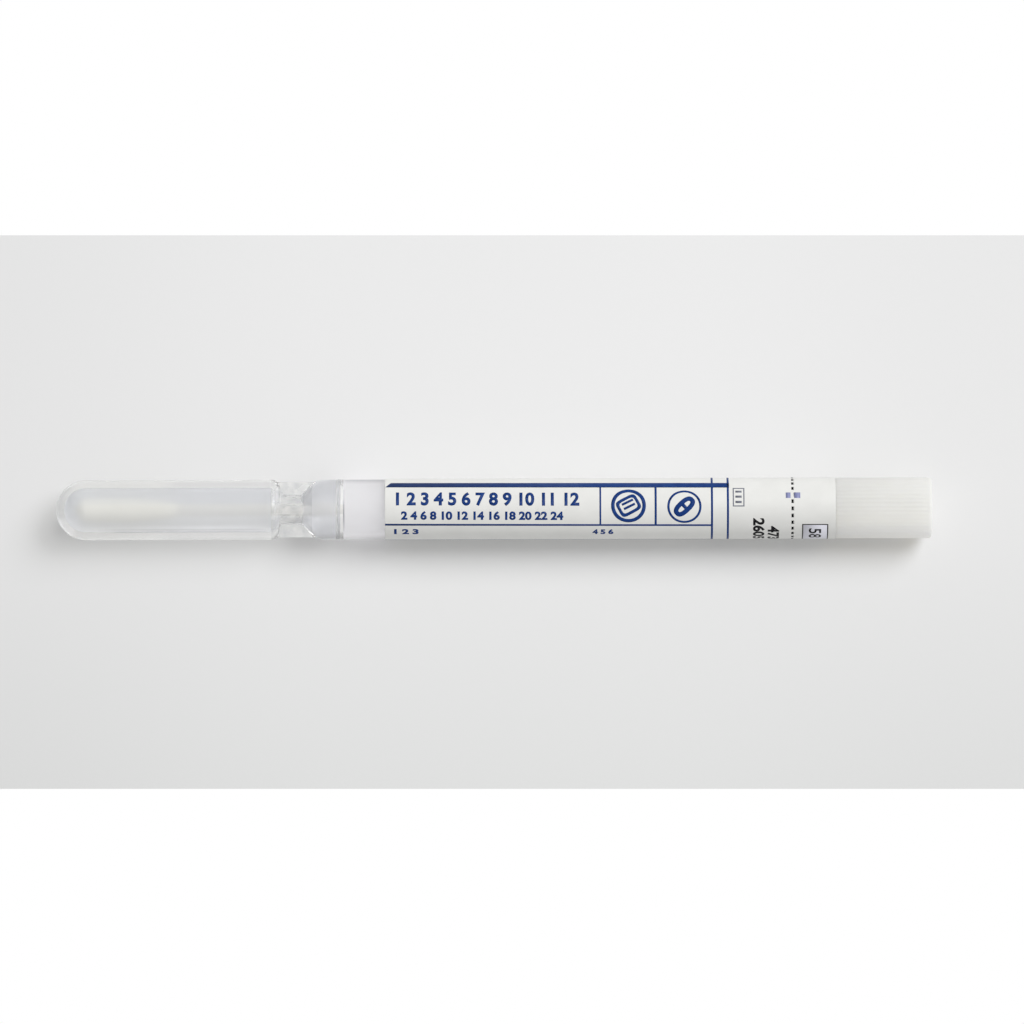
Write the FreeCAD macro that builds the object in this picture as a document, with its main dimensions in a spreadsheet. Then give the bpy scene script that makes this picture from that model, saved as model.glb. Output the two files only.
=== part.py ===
"""Specimen swab tube: a clear tube with gel, a wrapped label, and a ribbed cap that carries a swab.

The tube lies along X with its closed end at -X. The origin is under the middle of the whole object, on the
surface that it lies on, with Z up. Outlines are drawn by station (distance from the closed end) and radius,
and turned round the tube's axis.
"""
import FreeCAD, Part
import math
import os
import Sketcher

os.makedirs("parts", exist_ok=True)

# name, value in millimetres unless its meaning says otherwise, meaning
SIZES = [
    ("tube_length", 147.4, "closed end to mouth"),
    ("tube_diameter", 12.0, "outside"),
    ("tube_wall", 1.0, "side wall past the neck"),
    ("mouth_chamfer", 0.3, "lead-in for the plug"),
    ("chamber_bore", 5.8, "inside the thick-walled gel chamber"),
    ("end_wall", 3.1, "wall at the middle of the round end"),
    ("chamber_end", 43.4, "station of the chamber's flat inner end"),
    ("shoulder_wall", 1.2, "wall of that end"),
    ("shoulder_round", 1.6, "outside corner of that end"),
    ("shoulder_inner_round", 0.3, "inside corner of that end"),
    ("neck_bore", 4.2, "inside the neck that the swab is pushed through"),
    ("neck_wall", 0.9, "round the neck"),
    ("funnel_end", 53.8, "station where the tube is full size again"),
    ("funnel_round", 3.7, "outside arc from the tube's side to the funnel's cone"),
    ("funnel_angle", 45, "degrees from the funnel's cone to the axis"),
    ("fin_count", 4, "number of fins that bridge the neck"),
    ("fin_thickness", 1.7, "each"),
    ("fin_inset", 0.45, "rim of a fin inside the tube's surface"),
    ("gel_film", 0.03, "gap between gel and what it wets"),
    ("gel_past_funnel", 4.0, "gel's contact with the wall past the funnel"),
    ("meniscus_depth", 0.6, "dip of the gel's free surface"),
    ("label_start", 65.8, "station of the label's edge"),
    ("label_thickness", 0.1, "paper"),
    ("label_glue", 0.02, "glue under the paper"),
    ("label_gap", 18.0, "degrees left open along the underside"),
    ("perforation_gap", 0.1, "cut between the label and its seal strip"),
    ("collar_length", 8.4, "smooth part of the cap, under the seal strip"),
    ("grip_length", 19.2, "ribbed part of the cap"),
    ("grip_edge", 0.6, "rounding at the cap's end"),
    ("rib_count", 44, "number of ribs round the grip"),
    ("rib_height", 0.15, "above the collar's surface"),
    ("rib_crest", 0.3, "width at the top"),
    ("rib_root", 0.6, "width at the bottom"),
    ("rib_bite", 0.1, "how far a rib's root is sunk into the grip"),
    ("plug_length", 8.0, "into the bore"),
    ("plug_clearance", 0.05, "between plug and bore"),
    ("plug_wall", 0.9, "round the cap's core"),
    ("plug_chamfer", 0.4, "at the plug's front"),
    ("cap_end_wall", 2.0, "end of the core to the cap's end"),
    ("boss_wall", 1.1, "round the shaft's socket"),
    ("socket_depth", 24.0, "of the shaft in the boss"),
    ("socket_clearance", 0.02, "glue round the shaft"),
    ("shaft_diameter", 2.0, "the swab's rod"),
    ("bud_start", 4.5, "station of the bud's tip"),
    ("bud_length", 19.5, "tip to where it runs out on the shaft"),
    ("bud_diameter", 3.6, "widest"),
    ("bud_taper", 9.0, "length that tapers down to the shaft"),
    ("bud_nose_cover", 2.0, "fibre beyond the shaft's end"),
    ("bud_lip", 0.25, "fibre thickness where the taper ends"),
    ("bud_clearance", 0.02, "between fibre and shaft"),
]

TUBE_RADIUS = "Sizes.tube_diameter / 2"
BORE_RADIUS = f"({TUBE_RADIUS} - Sizes.tube_wall)"
WET_RADIUS = f"({BORE_RADIUS} - Sizes.gel_film)"
CHAMBER_RADIUS = "Sizes.chamber_bore / 2"
WET_CHAMBER_RADIUS = f"({CHAMBER_RADIUS} - Sizes.gel_film)"
INNER_END_CENTRE = f"(Sizes.end_wall + {CHAMBER_RADIUS})"
NECK_BORE_RADIUS = "Sizes.neck_bore / 2"
NECK_RADIUS = f"({NECK_BORE_RADIUS} + Sizes.neck_wall)"
SHOULDER_FACE = "(Sizes.chamber_end + Sizes.shoulder_wall)"
FUNNEL_OUTER_ARC = "Sizes.funnel_round"
FUNNEL_INNER_ARC = "(Sizes.funnel_round - Sizes.tube_wall)"
SHAFT_RADIUS = "Sizes.shaft_diameter / 2"
SHAFT_START = "(Sizes.bud_start + Sizes.bud_nose_cover)"
WET_SHAFT_RADIUS = f"({SHAFT_RADIUS} + Sizes.gel_film)"
BUD_RADIUS = "Sizes.bud_diameter / 2"
BUD_END = "(Sizes.bud_start + Sizes.bud_length)"
LABEL_INNER = f"({TUBE_RADIUS} + Sizes.label_glue)"
LABEL_OUTER = f"({LABEL_INNER} + Sizes.label_thickness)"
COLLAR_END = "(Sizes.tube_length + Sizes.collar_length)"
CAP_END = f"({COLLAR_END} + Sizes.grip_length)"
PLUG_FRONT = "(Sizes.tube_length - Sizes.plug_length)"
PLUG_RADIUS = f"({BORE_RADIUS} - Sizes.plug_clearance)"
CORE_RADIUS = f"({PLUG_RADIUS} - Sizes.plug_wall)"
CORE_END = f"({CAP_END} - Sizes.cap_end_wall)"
SOCKET_RADIUS = f"({SHAFT_RADIUS} + Sizes.socket_clearance)"
SOCKET_END = f"({PLUG_FRONT} + Sizes.socket_depth)"
RIB_CREST_RADIUS = f"({TUBE_RADIUS} + Sizes.rib_height)"
HALF_RIB_PITCH = "180 / Sizes.rib_count"

# The object lies on the two lowest ribs, unless the label's two edges or the tube reach lower.
RIB_REACH = f"{RIB_CREST_RADIUS} * cos({HALF_RIB_PITCH}) + Sizes.rib_crest / 2 * sin({HALF_RIB_PITCH})"
LABEL_REACH = f"{LABEL_OUTER} * cos(Sizes.label_gap / 2)"
AXIS_HEIGHT = f"max({RIB_REACH}; {LABEL_REACH}; {TUBE_RADIUS})"

H_AXIS = -1
V_AXIS = -2
ORIGIN = (-1, 1)

doc = FreeCAD.newDocument("specimen_swab_tube")


def make_sheet():
    """Put every driving size in the sheet, with its name as alias and its meaning beside it."""
    sheet = doc.addObject("Spreadsheet::Sheet", "Sizes")
    for row, (name, value, meaning) in enumerate(SIZES, start=1):
        sheet.set(f"A{row}", name)
        sheet.set(f"B{row}", str(value))
        sheet.setAlias(f"B{row}", name)
        sheet.set(f"C{row}", meaning)
    doc.recompute()
    return sheet


sizes = make_sheet()


def origin_feature(body, role):
    """Return the plane or axis of a body's own origin that has this role."""
    return next(feature for feature in body.Origin.OriginFeatures if feature.Role == role)


def make_body(name):
    """Make a body whose own X is the station, placed so that the object is centred over the origin."""
    body = doc.addObject("PartDesign::Body", name)
    body.Label = name
    body.Placement = FreeCAD.Placement(FreeCAD.Vector(), FreeCAD.Rotation(FreeCAD.Vector(1, 0, 0), 0))
    body.setExpression("Placement.Base.x", f"-{CAP_END} / 2")
    body.setExpression("Placement.Base.z", AXIS_HEIGHT)
    return body


def make_sketch(body, name, plane):
    """Attach a sketch to one of the body's own origin planes."""
    sketch = body.newObject("Sketcher::SketchObject", name)
    sketch.AttachmentSupport = [(origin_feature(body, plane), "")]
    sketch.MapMode = "FlatFace"
    return sketch


def bulge(radius, side):
    """Describe an edge that is an arc of this radius, bulging left (1) or right (-1) of the way it runs."""
    return radius, side


def edge_geometry(start, end, arc):
    """Return a line, or the short arc through the point at its bulge's height above the chord."""
    if arc is None:
        return Part.LineSegment(start, end)
    radius, side = sizes.evalExpression(arc[0]), arc[1]
    chord = end - start
    rise = radius - math.sqrt(radius**2 - (chord.Length / 2) ** 2)
    across = FreeCAD.Vector(-chord.y, chord.x, 0).normalize()
    return Part.ArcOfCircle(start, start + chord / 2 + across * rise * side, end)


def pin_to_sheet(sketch, vertex, number, expressions):
    """Hold a vertex at its two coordinates, each bound to the sheet, or on an axis where one is 0."""
    for kind, axis, expression in zip(("DistanceX", "DistanceY"), (V_AXIS, H_AXIS), expressions):
        if expression == "0":
            sketch.addConstraint(Sketcher.Constraint("PointOnObject", *vertex, axis))
            continue
        value = sizes.evalExpression(expression)
        constraint = sketch.addConstraint(Sketcher.Constraint(kind, *ORIGIN, *vertex, value))
        name = f"{kind}{number}"
        sketch.renameConstraint(constraint, name)
        sketch.setExpression(f"Constraints.{name}", expression)


def draw_outline(sketch, outline):
    """Draw a closed outline.

    Each corner is (first coordinate, second coordinate), with a third item where the edge that leaves it
    is an arc. Every corner is held by the sheet, neighbouring edges meet, and an arc has its radius.
    """
    corners = []
    for corner in outline:
        corners.append(FreeCAD.Vector(sizes.evalExpression(corner[0]), sizes.evalExpression(corner[1]), 0))
    ends = []
    for number, corner in enumerate(outline):
        start, end = corners[number], corners[(number + 1) % len(corners)]
        arc = corner[2] if len(corner) > 2 else None
        edge = sketch.addGeometry(edge_geometry(start, end, arc), False)
        first, second = sketch.getPoint(edge, 1), sketch.getPoint(edge, 2)
        runs_forward = first.distanceToPoint(start) < second.distanceToPoint(start)
        ends.append(((edge, 1), (edge, 2)) if runs_forward else ((edge, 2), (edge, 1)))
        if arc is not None:
            radius = Sketcher.Constraint("Radius", edge, sizes.evalExpression(arc[0]))
            sketch.renameConstraint(sketch.addConstraint(radius), f"Radius{number}")
            sketch.setExpression(f"Constraints.Radius{number}", arc[0])
    for number, corner in enumerate(outline):
        arriving, leaving = ends[number - 1][1], ends[number][0]
        sketch.addConstraint(Sketcher.Constraint("Coincident", *arriving, *leaving))
        pin_to_sheet(sketch, leaving, number, corner[:2])


def turn_outline(body, outline, angle="360"):
    """Turn an outline of stations and radii round the tube's axis, centred on the top of the tube."""
    sketch = make_sketch(body, f"{body.Name}_outline", "XZ_Plane")
    draw_outline(sketch, outline)
    turned = body.newObject("PartDesign::Revolution", f"{body.Name}_turned")
    turned.Profile = sketch
    turned.ReferenceAxis = (sketch, ["H_Axis"])
    turned.Midplane = True
    turned.setExpression("Angle", angle)
    body.Tip = turned
    doc.recompute()
    return turned


def repeat_round_axis(body, name, feature, count):
    """Repeat a feature evenly round the tube's axis."""
    body.Tip = feature
    doc.recompute()
    pattern = body.newObject("PartDesign::PolarPattern", name)
    pattern.Originals = [feature]
    pattern.Axis = (origin_feature(body, "X_Axis"), [""])
    pattern.Angle = 360
    pattern.setExpression("Occurrences", count)
    body.Tip = pattern
    return pattern


def funnel_bend(arc_radius):
    """Where an arc from the tube's side, about the funnel's own centre, runs into a cone of its angle."""
    station = f"(Sizes.funnel_end - {arc_radius} * sin(Sizes.funnel_angle))"
    radius = f"({TUBE_RADIUS} - Sizes.funnel_round + {arc_radius} * cos(Sizes.funnel_angle))"
    return station, radius


def funnel_cone(arc_radius, radius):
    """The station at which that cone, made long enough, has this radius."""
    bend_station, bend_radius = funnel_bend(arc_radius)
    return f"({bend_station} + ({radius} - {bend_radius}) / tan(Sizes.funnel_angle))"


def make_tube():
    """One moulded wall: round end, gel chamber, neck with fins, funnel, cylinder and lead-in at the mouth."""
    body = make_body("tube")
    shoulder_station = f"{SHOULDER_FACE} - Sizes.shoulder_round"
    turn_outline(body, [
        ("0", "0", bulge(TUBE_RADIUS, 1)),
        (TUBE_RADIUS, TUBE_RADIUS),
        (shoulder_station, TUBE_RADIUS, bulge("Sizes.shoulder_round", 1)),
        (SHOULDER_FACE, f"{TUBE_RADIUS} - Sizes.shoulder_round"),
        (SHOULDER_FACE, NECK_RADIUS),
        (funnel_cone(FUNNEL_OUTER_ARC, NECK_RADIUS), NECK_RADIUS),
        (*funnel_bend(FUNNEL_OUTER_ARC), bulge(FUNNEL_OUTER_ARC, 1)),
        ("Sizes.funnel_end", TUBE_RADIUS),
        ("Sizes.tube_length", TUBE_RADIUS),
        ("Sizes.tube_length", f"{BORE_RADIUS} + Sizes.mouth_chamfer"),
        ("Sizes.tube_length - Sizes.mouth_chamfer", BORE_RADIUS),
        ("Sizes.funnel_end", BORE_RADIUS, bulge(FUNNEL_INNER_ARC, -1)),
        funnel_bend(FUNNEL_INNER_ARC),
        (funnel_cone(FUNNEL_INNER_ARC, NECK_BORE_RADIUS), NECK_BORE_RADIUS),
        ("Sizes.chamber_end", NECK_BORE_RADIUS),
        ("Sizes.chamber_end", f"{CHAMBER_RADIUS} - Sizes.shoulder_inner_round",
         bulge("Sizes.shoulder_inner_round", -1)),
        ("Sizes.chamber_end - Sizes.shoulder_inner_round", CHAMBER_RADIUS),
        (INNER_END_CENTRE, CHAMBER_RADIUS, bulge(CHAMBER_RADIUS, -1)),
        ("Sizes.end_wall", "0"),
    ])
    # Each fin's edges end inside the walls that it joins, half a wall deep.
    mid_shoulder = f"{SHOULDER_FACE} - Sizes.shoulder_wall / 2"
    mid_neck = f"{NECK_RADIUS} - Sizes.neck_wall / 2"
    mid_funnel_arc = f"({FUNNEL_OUTER_ARC} - Sizes.tube_wall / 2)"
    fin_rim = f"({TUBE_RADIUS} - Sizes.fin_inset)"
    fin_outline = make_sketch(body, "fin_outline", "XZ_Plane")
    draw_outline(fin_outline, [
        (mid_shoulder, mid_neck),
        (mid_shoulder, fin_rim),
        (funnel_cone(mid_funnel_arc, fin_rim), fin_rim),
        (funnel_cone(mid_funnel_arc, mid_neck), mid_neck),
    ])
    fin = body.newObject("PartDesign::Pad", "fin")
    fin.Profile = fin_outline
    fin.Midplane = True
    fin.setExpression("Length", "Sizes.fin_thickness")
    repeat_round_axis(body, "fins", fin, "Sizes.fin_count")
    return body


def make_gel():
    """One run of gel from the round end through the neck to its hollow free surface, clear of the swab."""
    body = make_body("gel")
    gel_arc = f"({FUNNEL_INNER_ARC} - Sizes.gel_film)"
    gel_neck = f"({NECK_BORE_RADIUS} - Sizes.gel_film)"
    corner = "(Sizes.shoulder_inner_round - Sizes.gel_film)"
    gel_end = "(Sizes.funnel_end + Sizes.gel_past_funnel)"
    bud_space = f"({BUD_RADIUS} + Sizes.gel_film)"
    turn_outline(body, [
        ("Sizes.end_wall + Sizes.gel_film", "0", bulge(WET_CHAMBER_RADIUS, 1)),
        (INNER_END_CENTRE, WET_CHAMBER_RADIUS),
        ("Sizes.chamber_end - Sizes.shoulder_inner_round", WET_CHAMBER_RADIUS, bulge(corner, 1)),
        ("Sizes.chamber_end - Sizes.gel_film", f"{WET_CHAMBER_RADIUS} - {corner}"),
        ("Sizes.chamber_end - Sizes.gel_film", gel_neck),
        (funnel_cone(gel_arc, gel_neck), gel_neck),
        (*funnel_bend(gel_arc), bulge(gel_arc, 1)),
        ("Sizes.funnel_end", WET_RADIUS),
        (gel_end, WET_RADIUS, bulge(WET_RADIUS, -1)),
        (f"{gel_end} - Sizes.meniscus_depth", WET_SHAFT_RADIUS),
        (f"{BUD_END} + Sizes.gel_film", WET_SHAFT_RADIUS),
        (f"{BUD_END} + Sizes.gel_film", f"{WET_SHAFT_RADIUS} + Sizes.bud_lip"),
        (f"{BUD_END} - Sizes.bud_taper", bud_space),
        (f"Sizes.bud_start + {BUD_RADIUS}", bud_space, bulge(bud_space, -1)),
        ("Sizes.bud_start - Sizes.gel_film", "0"),
    ])
    return body


def make_label(name, start, end):
    """Paper turned round the tube, left open along the underside."""
    body = make_body(name)
    outline = [(start, LABEL_INNER), (start, LABEL_OUTER), (end, LABEL_OUTER), (end, LABEL_INNER)]
    turn_outline(body, outline, angle="360 - Sizes.label_gap")
    return body


def make_cap():
    """One moulding: plug, collar flush with the tube, ribbed grip, and a boss round the shaft's socket."""
    body = make_body("cap")
    boss_radius = f"{SOCKET_RADIUS} + Sizes.boss_wall"
    turn_outline(body, [
        (PLUG_FRONT, SOCKET_RADIUS),
        (PLUG_FRONT, boss_radius),
        (CORE_END, boss_radius),
        (CORE_END, CORE_RADIUS),
        (PLUG_FRONT, CORE_RADIUS),
        (PLUG_FRONT, f"{PLUG_RADIUS} - Sizes.plug_chamfer"),
        (f"{PLUG_FRONT} + Sizes.plug_chamfer", PLUG_RADIUS),
        ("Sizes.tube_length", PLUG_RADIUS),
        ("Sizes.tube_length", TUBE_RADIUS),
        (f"{CAP_END} - Sizes.grip_edge", TUBE_RADIUS, bulge("Sizes.grip_edge", 1)),
        (CAP_END, f"{TUBE_RADIUS} - Sizes.grip_edge"),
        (CAP_END, "0"),
        (SOCKET_END, "0"),
        (SOCKET_END, SOCKET_RADIUS),
    ])
    rib_section = make_sketch(body, "rib_section", "YZ_Plane")
    rib_section.setExpression("AttachmentOffset.Base.z", COLLAR_END)
    rib_foot = f"{TUBE_RADIUS} - Sizes.rib_bite"
    draw_outline(rib_section, [
        ("-Sizes.rib_root / 2", rib_foot),
        ("-Sizes.rib_crest / 2", RIB_CREST_RADIUS),
        ("Sizes.rib_crest / 2", RIB_CREST_RADIUS),
        ("Sizes.rib_root / 2", rib_foot),
    ])
    rib = body.newObject("PartDesign::Pad", "rib")
    rib.Profile = rib_section
    rib.setExpression("Length", "Sizes.grip_length - Sizes.grip_edge")
    repeat_round_axis(body, "ribs", rib, "Sizes.rib_count")
    # Half a pitch of turn puts a valley at the bottom, so that the grip lies on two ribs.
    body.setExpression("Placement.Rotation.Angle", HALF_RIB_PITCH)
    return body


def make_swab_shaft():
    """Plain rod from inside the bud to the end of the cap's socket."""
    body = make_body("swab_shaft")
    turn_outline(body, [
        (SHAFT_START, "0"),
        (SHAFT_START, SHAFT_RADIUS),
        (SOCKET_END, SHAFT_RADIUS),
        (SOCKET_END, "0"),
    ])
    return body


def make_swab_bud():
    """Fibre wound on the shaft's end: round tip, straight middle and a taper that ends in a thin lip."""
    body = make_body("swab_bud")
    hole_radius = f"{SHAFT_RADIUS} + Sizes.bud_clearance"
    turn_outline(body, [
        ("Sizes.bud_start", "0", bulge(BUD_RADIUS, 1)),
        (f"Sizes.bud_start + {BUD_RADIUS}", BUD_RADIUS),
        (f"{BUD_END} - Sizes.bud_taper", BUD_RADIUS),
        (BUD_END, f"{SHAFT_RADIUS} + Sizes.bud_lip"),
        (BUD_END, hole_radius),
        (SHAFT_START, hole_radius),
        (SHAFT_START, "0"),
    ])
    return body


def check_and_export(bodies):
    """Recompute, stop on any failed object or bad solid, and write one STEP file for each body."""
    doc.recompute()
    failed = [thing.Name for thing in doc.Objects if {"Invalid", "Error"} & set(thing.State)]
    if failed:
        raise RuntimeError(f"failed objects: {failed}")
    for body in bodies:
        shape = body.Shape
        if shape.isNull() or not shape.isValid() or len(shape.Solids) != 1:
            raise RuntimeError(f"{body.Label} is not one valid solid")
    for body in bodies:
        body.Shape.exportStep(f"parts/{body.Label}.step")
        box = body.Shape.optimalBoundingBox(False, False)
        print(f"{body.Label:12s} {body.Shape.Volume:9.2f} mm3  x {box.XMin:8.3f} {box.XMax:8.3f}"
              f"  y {box.YMin:7.3f} {box.YMax:7.3f}  z {box.ZMin:7.3f} {box.ZMax:7.3f}")


half_cut = "Sizes.perforation_gap / 2"
check_and_export([
    make_tube(),
    make_gel(),
    make_label("label", "Sizes.label_start", f"Sizes.tube_length - {half_cut}"),
    make_label("seal_strip", f"Sizes.tube_length + {half_cut}", COLLAR_END),
    make_cap(),
    make_swab_shaft(),
    make_swab_bud(),
])
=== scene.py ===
"""Specimen swab tube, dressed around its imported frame.

A clear moulded tube with gel, a wrapped paper label with plain print, and a ribbed cap that carries a swab.
Lengths in the tables are millimetres. A station is the distance from the tube's closed end along +X, and an
angle round the tube starts at the top and grows towards +Y.
"""
import math

import bmesh
import bpy
import numpy as np
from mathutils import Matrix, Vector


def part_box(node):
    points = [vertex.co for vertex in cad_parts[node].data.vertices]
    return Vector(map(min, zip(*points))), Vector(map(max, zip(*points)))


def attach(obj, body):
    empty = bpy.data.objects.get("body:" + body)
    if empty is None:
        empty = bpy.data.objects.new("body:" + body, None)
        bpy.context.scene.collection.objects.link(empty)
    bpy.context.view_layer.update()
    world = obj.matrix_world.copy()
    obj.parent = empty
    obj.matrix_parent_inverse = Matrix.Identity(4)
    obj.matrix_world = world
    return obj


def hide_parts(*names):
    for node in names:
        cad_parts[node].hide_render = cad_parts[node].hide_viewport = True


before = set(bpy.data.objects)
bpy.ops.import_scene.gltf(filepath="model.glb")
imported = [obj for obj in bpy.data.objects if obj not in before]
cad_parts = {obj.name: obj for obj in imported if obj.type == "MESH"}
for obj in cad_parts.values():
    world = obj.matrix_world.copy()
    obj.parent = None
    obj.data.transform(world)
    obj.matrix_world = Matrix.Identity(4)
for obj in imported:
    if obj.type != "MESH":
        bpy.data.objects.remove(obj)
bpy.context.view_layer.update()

MM = 0.001
TUBE_LOW, TUBE_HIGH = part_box("tube")
CLOSED_END = TUBE_LOW.x
AXIS_HEIGHT = (TUBE_LOW.z + TUBE_HIGH.z) / 2

# The tube: radii, and stations from its closed end.
TUBE_RADIUS = 6.0
BORE_RADIUS = 5.0
END_WALL = 3.1
CHAMBER_RADIUS = 2.9
CHAMBER_END = 43.4
SHOULDER_FACE = 44.6
NECK_RADIUS = 3.0
NECK_BORE = 2.1
FUNNEL_SLOPE = math.radians(45)
FUNNEL_END = 53.8
FUNNEL_ROUND = 3.7
FIN_START = 43.6
FIN_END = 52.6
FIN_RIM = 5.55
FIN_HALF = 0.85
MOUTH = 147.4

# Where one finish of the wall or the gel gives way to the next.
CHAMBER_FINISH_END = 42.95
NECK_FINISH_END = 51.2
NECK_GEL_END = 49.2
MENISCUS_FOOT = 55.95
GEL_EDGE = 56.8
FROST_START = 57.45
SHADED_BAND_WIDTH = 0.25

# The swab and the cap.
BUD_START = 4.5
BUD_END = 24
BUD_RADIUS = 1.8
SHAFT_START = 6.5
SHAFT_END = 163.3
SHAFT_RADIUS = 1.0
PLUG_START = 139.4
GRIP_START = 155.86
CAP_END = 175.0
RIBS = 44

# The paper, its perforation and its print.
LABEL_START = 65.8
COLLAR_END = 155.8
PAPER_INSIDE = 6.02
PAPER_OUTSIDE = 6.12
PAPER_GAP = math.radians(18)
CUT_HALF = 0.05
DASH_PITCH = 1.442
DASH_PHASE = -0.04
PRINT_SKEW = 0.005
SKEW_CENTRE = 19


# ---------------------------------------------------------------- surfaces

def rounded_path(corners, arc_steps=8, guard=0.12):
    """Stations and radii along a run of straight lines whose corners are arcs.

    A corner is (station, radius, rounding). Its arc has that rounding, touches both lines, and is walked in
    equal turns. Each line also gets a point a guard's length from its ends, to keep its shading straight.
    """
    corners = [(*corner, 0)[:3] for corner in corners]
    points = []
    for number, (station, radius, rounding) in enumerate(corners):
        here = np.array([station, radius], float)
        if rounding == 0:
            points.append(here[None, :])
            continue
        before = np.array(corners[number - 1][:2], float) - here
        after = np.array(corners[number + 1][:2], float) - here
        before /= np.linalg.norm(before)
        after /= np.linalg.norm(after)
        half_turn = math.acos(np.clip(-before @ after, -1, 1)) / 2
        middle = (before + after) / np.linalg.norm(before + after)
        centre = here + middle * rounding / math.cos(half_turn)
        out = -middle
        side = np.array([out[1], -out[0]])
        side *= np.sign(side @ before)
        turn = np.linspace(half_turn, -half_turn, arc_steps + 1)[:, None]
        points.append(centre + rounding * (np.cos(turn) * out + np.sin(turn) * side))
    path = np.concatenate(points)
    step = np.diff(path, axis=0)
    length = np.linalg.norm(step, axis=1)
    path, step, length = path[np.r_[True, length > 1e-6]], step[length > 1e-6], length[length > 1e-6]
    fractions = [np.zeros(len(length)), guard / length, 1 - guard / length]
    keep = [np.ones(len(length), bool), length > 3 * guard, length > 3 * guard]
    chosen = list(zip(fractions, keep))
    inserted = np.concatenate([path[:-1][ok] + step[ok] * share[ok][:, None] for share, ok in chosen])
    order = np.concatenate([np.arange(len(length))[ok] + share[ok] for share, ok in chosen])
    return np.concatenate([inserted[np.argsort(order)], path[-1:]])


def subdivide_path(path, start, end, step):
    """The same path with its lines between two stations cut into equal parts no longer than a step."""
    length = np.linalg.norm(np.diff(path, axis=0), axis=1)
    inside = (path[:-1, 0] >= start - 1e-6) & (path[1:, 0] <= end + 1e-6)
    parts = np.where(inside, np.maximum(1, np.ceil(length / step)), 1).astype(int)
    first = np.repeat(np.arange(len(parts)), parts)
    share = (np.arange(parts.sum()) - np.repeat(np.cumsum(parts) - parts, parts)) / np.repeat(parts, parts)
    cut = path[first] + (path[first + 1] - path[first]) * share[:, None]
    return np.concatenate([cut, path[-1:]])


def on_tube(station, angle, radius):
    """Points in the frame: X is the station, Y and Z are the radius times the angle's sine and cosine."""
    station, angle, radius = np.broadcast_arrays(station, angle, radius)
    x = CLOSED_END + station * MM
    y = radius * np.sin(angle) * MM
    z = AXIS_HEIGHT + radius * np.cos(angle) * MM
    return np.stack([x, y, z], axis=-1)


def grid_quads(rows, columns, close_columns=True):
    """Corner numbers of the quads between the neighbouring points of a grid, its columns closed in a ring."""
    row = np.arange(rows - 1)[:, None]
    column = np.arange(columns if close_columns else columns - 1)[None, :]
    following = (column + 1) % columns
    corners = (row * columns + column, (row + 1) * columns + column,
               (row + 1) * columns + following, row * columns + following)
    return np.stack(np.broadcast_arrays(*corners), axis=-1).reshape(-1, 4)


def capped_rings(rings, first_pole, last_pole):
    """A closed surface: rings of points joined by quads, and a fan of triangles to a pole at each end."""
    rows, columns = rings.shape[:2]
    points = np.concatenate([rings.reshape(-1, 3), [first_pole], [last_pole]])
    column = np.arange(columns)
    following = (column + 1) % columns
    base = (rows - 1) * columns
    first_fan = np.stack([np.full(columns, rows * columns), column, following], axis=-1)
    last_fan = np.stack([base + column, np.full(columns, rows * columns + 1), base + following], axis=-1)
    return points, grid_quads(rows, columns).tolist() + first_fan.tolist() + last_fan.tolist()


def slab(outer, inner):
    """A closed sheet: an outer and an inner grid of points, joined by quads along their four sides."""
    rows, columns = outer.shape[:2]
    count = rows * columns
    number = np.arange(count).reshape(rows, columns)
    top = grid_quads(rows, columns, close_columns=False)
    faces = [top, top[:, ::-1] + count]
    for line in (number[0], number[-1, ::-1], number[::-1, 0], number[:, -1]):
        faces.append(np.stack([line[:-1], line[1:], line[1:] + count, line[:-1] + count], axis=-1))
    return np.concatenate([outer.reshape(-1, 3), inner.reshape(-1, 3)]), np.concatenate(faces).tolist()


def make_piece(name, points, faces, materials, body, replaced=()):
    """Put a surface into a mesh at the origin, smooth, ride it on its body, and hide the frame's parts that
    it stands for.
    """
    mesh = bpy.data.meshes.new(name)
    mesh.from_pydata(np.asarray(points).tolist(), [], faces)
    mesh.polygons.foreach_set("use_smooth", np.ones(len(mesh.polygons), bool))
    for material in materials:
        mesh.materials.append(material)
    mesh.update()
    piece = bpy.data.objects.new(name, mesh)
    bpy.context.scene.collection.objects.link(piece)
    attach(piece, body)
    if replaced:
        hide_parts(*replaced)
    return piece


def smooth_max(first, second, blend):
    """The larger of two heights, with a fillet of that blend where they cross."""
    near = np.maximum(blend - np.abs(first - second), 0) / blend
    return np.maximum(first, second) + near * near * blend / 4


def ramp(value, start, end):
    """0 before start, 1 after end, and an S between."""
    share = np.clip((value - start) / (end - start), 0, 1)
    return share * share * (3 - 2 * share)


# ---------------------------------------------------------------- materials

def srgb(red, green, blue):
    """A display colour, 0 to 255, as the linear colour that a shader takes."""
    parts = [value / 255 for value in (red, green, blue)]
    return tuple(p / 12.92 if p <= 0.04045 else ((p + 0.055) / 1.055) ** 2.4 for p in parts) + (1.0,)


def start_group(name, inputs, outputs):
    """A node group with named sockets, each (name, type, value)."""
    group = bpy.data.node_groups.new(name, "ShaderNodeTree")
    for socket_name, kind, value in inputs:
        socket = group.interface.new_socket(socket_name, in_out="INPUT", socket_type=kind)
        if value is not None:
            socket.default_value = value
    for socket_name, kind in outputs:
        group.interface.new_socket(socket_name, in_out="OUTPUT", socket_type=kind)
    return group, group.nodes.new("NodeGroupInput"), group.nodes.new("NodeGroupOutput")


def feed(tree, socket, value):
    """Link an input to another node's socket, or give it a plain value."""
    if isinstance(value, bpy.types.NodeSocket):
        tree.links.new(value, socket)
    else:
        socket.default_value = value


def math_node(tree, operation, first, second=0.0):
    """One Math node, each input a socket or a number."""
    node = tree.nodes.new("ShaderNodeMath")
    node.operation = operation
    for socket, value in zip(node.inputs, (first, second)):
        feed(tree, socket, value)
    return node.outputs[0]


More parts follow.
